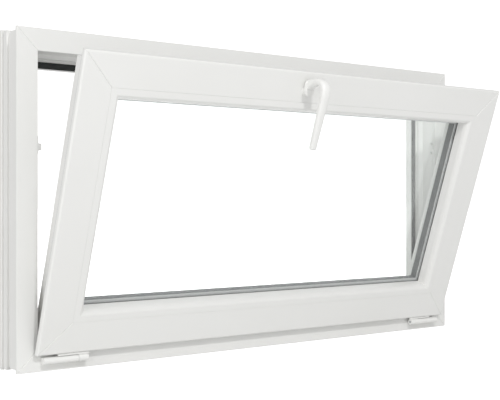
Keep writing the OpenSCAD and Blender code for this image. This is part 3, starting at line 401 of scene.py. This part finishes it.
screws = {
    "keeperScrews": {"nodes": ["keeper_screws", "stay_bracket_screws"], "body": "frame"},
    "hardwareScrews": {"nodes": ["faceplate_screws", "hinge_sash_screws"], "body": "sash"}}
screwSizes = {
    "Shank Radius": 0.0018, "Head Radius": 0.0034, "Length": 0.011,
    "Recess Width": 0.0009, "Recess Length": 0.0038, "Recess Depth": 0.0012}
for name, s in screws.items():
    places = [place for node in s["nodes"] for place in screwPlaces(node)]
    seed = bpy.data.meshes.new(name)
    seed.from_pydata([p[0] for p in places], [], [])
    seed.attributes.new("along", "FLOAT_VECTOR", "POINT")
    for item, place in zip(seed.attributes["along"].data, places):
        item.vector = place[1]
    mesh = growMesh(screwTree, dict(screwSizes, Finish=finish["zinc"]), seed)
    addPiece(name, mesh, finish["zinc"], s["body"], s["nodes"])
    print(name, len(places))

# lever: a tall boss on the collar, and an oval blade that bends over and hangs, slimmer to its tip;
# sizes in mm, its widths and thicknesses are half ones, and bend holds the control points (out, up) of
# the blade's middle line
lever = {
    "socket": 7.0, "socketBack": -4.0, "socketFront": 5.4,
    "bossWide": 10.0, "bossHigh": 15.5, "bossUp": 7.5, "bossBack": 4.4, "bossFront": 12.0,
    "bossRound": 1.6, "bossEase": 0.4,
    "bend": ((9.0, 11.5), (24.0, 28.0), (59.0, 36.0), (55.0, -4.0)), "length": 101.0, "lean": -2.0,
    "wide": 9.6, "tipWide": 7.2, "root": 8.4, "thick": 6.3, "tipThick": 5.2, "slimFast": 1.6,
    "tipRound": 4.0, "tipFullness": 0.6, "tipClose": 0.03, "square": 2.7,
    "sides": 48, "roundRings": 6, "bendRings": 34, "gripRings": 16, "tipRings": 10}


def onFace(side, out, rise):
    return handleAt + (sideways * side + faceOut * out + faceUp * rise) / 1000


def loft(shape, rings):
    rows = [[shape.verts.new(p) for p in ring] for ring in rings]
    for low, high in zip(rows, rows[1:]):
        for k in range(len(low)):
            n = (k + 1) % len(low)
            shape.faces.new((low[k], low[n], high[n], high[k]))
    shape.faces.new(rows[0])
    shape.faces.new(rows[-1])


def leverMesh():
    s = lever
    shape = bmesh.new()
    circle = [2 * math.pi * k / s["sides"] for k in range(s["sides"])]
    loft(shape, [[onFace(s["socket"] * math.cos(a), out, s["socket"] * math.sin(a)) for a in circle]
                 for out in (s["socketBack"], s["socketFront"])])
    # boss: straight sides between two half rounds, its back edge eased and its front edge rounded over
    straight = s["bossHigh"] - s["bossWide"]
    steps = [(s["bossBack"], s["bossEase"]), (s["bossBack"] + s["bossEase"], 0)]
    for k in range(s["roundRings"] + 1):
        t = math.pi / 2 * k / s["roundRings"]
        steps.append((s["bossFront"] - s["bossRound"] * (1 - math.sin(t)),
                      s["bossRound"] * (1 - math.cos(t))))
    rings = []
    for out, inset in steps:
        half = s["bossWide"] - inset
        turned = [a + math.pi / s["sides"] for a in circle]
        rings.append([onFace(half * math.cos(a), out,
                             half * math.sin(a) + math.copysign(straight, math.sin(a)) + s["bossUp"])
                      for a in turned])
    loft(shape, rings)
    # blade: its middle line, then its half width and half thickness at each ring
    line, sizes = [], []
    for i in range(s["bendRings"] + 1):
        t = i / s["bendRings"]
        weights = ((1 - t) ** 3, 3 * t * (1 - t) ** 2, 3 * t * t * (1 - t), t ** 3)
        line.append(sum((Vector(p) * w for p, w in zip(s["bend"], weights)), Vector((0, 0))))
        slim = min(1, t * s["slimFast"])
        sizes.append((s["wide"], s["root"] + (s["thick"] - s["root"]) * slim * (2 - slim)))
    top = line[-1]
    for i in range(1, s["gripRings"] + 1):
        t = i / s["gripRings"]
        line.append(Vector((top.x + s["lean"] * t, top.y + t * (s["tipRound"] - s["length"] - top.y))))
        sizes.append((s["wide"] + (s["tipWide"] - s["wide"]) * t,
                      s["thick"] + (s["tipThick"] - s["thick"]) * t))
    low = line[-1]
    for i in range(1, s["tipRings"] + 1):
        a = math.pi / 2 * i / s["tipRings"]
        line.append(low + Vector((0, -s["tipRound"] * math.sin(a))))
        shrink = max(math.cos(a), s["tipClose"]) ** s["tipFullness"]
        sizes.append((s["tipWide"] * shrink, s["tipThick"] * shrink))
    # each ring is a squarish oval, square to the middle line
    power = 2 / s["square"]
    rings = []
    for i, (point, (wide, thick)) in enumerate(zip(line, sizes)):
        way = (line[min(i + 1, len(line) - 1)] - line[max(i - 1, 0)]).normalized()
        ring = []
        for a in circle:
            through = thick * math.copysign(abs(math.sin(a)) ** power, math.sin(a))
            side = wide * math.copysign(abs(math.cos(a)) ** power, math.cos(a))
            ring.append(onFace(side, point.x - way.y * through, point.y + way.x * through))
        rings.append(ring)
    loft(shape, rings)
    mesh = bpy.data.meshes.new("leverHandle")
    shape.to_mesh(mesh)
    shape.free()
    return mesh


addPiece("leverHandle", leverMesh(), finish["powder"], "handle", ["handle_lever"])
print("lever lofted")

# camera level with the middle of the window, to its left
cameraView = {"at": (-1.3168, -1.6276, 0.3005), "turn": 38.137, "lens": 73.5, "sensor": 36,
              "shiftY": -0.0006}
cameraData = bpy.data.cameras.new("camera")
cameraData.sensor_width = cameraView["sensor"]
cameraData.lens = cameraView["lens"]
cameraData.shift_y = cameraView["shiftY"]
camera = bpy.data.objects.new("camera", cameraData)
camera.location = cameraView["at"]
camera.rotation_euler = (math.radians(90), 0, math.radians(-cameraView["turn"]))
bpy.context.scene.collection.objects.link(camera)
bpy.context.scene.camera = camera

# pale floor and soft studio light, all white
studio = {"floorSize": 60.0, "floorDrop": 0.002, "floorGlow": 0.12, "ambient": 0.54, "seen": 1.3}
bpy.context.scene.view_settings.view_transform = "Standard"


# floor and world light softly, and look white where they are seen, through the glass as well
def brightWhereSeen(tree, unseen):
    rays = addNode(tree, "ShaderNodeLightPath")
    seen = addNode(tree, "ShaderNodeMath", operation="MAXIMUM", links={
        0: rays.outputs["Is Camera Ray"], 1: rays.outputs["Is Transmission Ray"]})
    power = addNode(tree, "ShaderNodeMapRange", {"To Min": unseen, "To Max": studio["seen"]},
                    {"Value": seen.outputs[0]})
    return power.outputs[0]


bpy.ops.mesh.primitive_plane_add(size=studio["floorSize"], location=(0, 0, -studio["floorDrop"]))
floor = bpy.context.object
floor.name = "floor"
floorMaterial, floorTree, floorShader, _ = startMaterial("paleFloor", {
    "Base Color": hexColor("#E6E6E6"), "Roughness": 0.9, "Specular IOR Level": 0.1,
    "Emission Color": hexColor("#FFFFFF")})
floorTree.links.new(brightWhereSeen(floorTree, studio["floorGlow"]),
                    floorShader.inputs["Emission Strength"])
floor.data.materials.append(floorMaterial)

world = bpy.data.worlds.new("studio")
world.use_nodes = True
sky = world.node_tree
sky.nodes.clear()
backdrop = addNode(sky, "ShaderNodeBackground", {"Color": (1, 1, 1, 1)}, {
    "Strength": brightWhereSeen(sky, studio["ambient"])})
addNode(sky, "ShaderNodeOutputWorld", links={"Surface": backdrop.outputs[0]})
bpy.context.scene.world = world

# key lamp above the room side, and a wide fill to its left, both aimed at the window's middle
aim = Vector((0, 0, 0.3))
lamps = {"key": {"at": (-0.73, -2.9, 2.64), "size": 0.3, "power": 46.0},
         "fill": {"at": (-3.2, -1.2, 1.0), "size": 2.5, "power": 24.0}}
for name, s in lamps.items():
    data = bpy.data.lights.new(name, "AREA")
    data.shape = "DISK"
    data.size = s["size"]
    data.energy = s["power"]
    lamp = bpy.data.objects.new(name, data)
    lamp.location = s["at"]
    lamp.rotation_euler = (aim - Vector(s["at"])).to_track_quat("-Z", "Y").to_euler()
    bpy.context.scene.collection.objects.link(lamp)
print("studio ready")
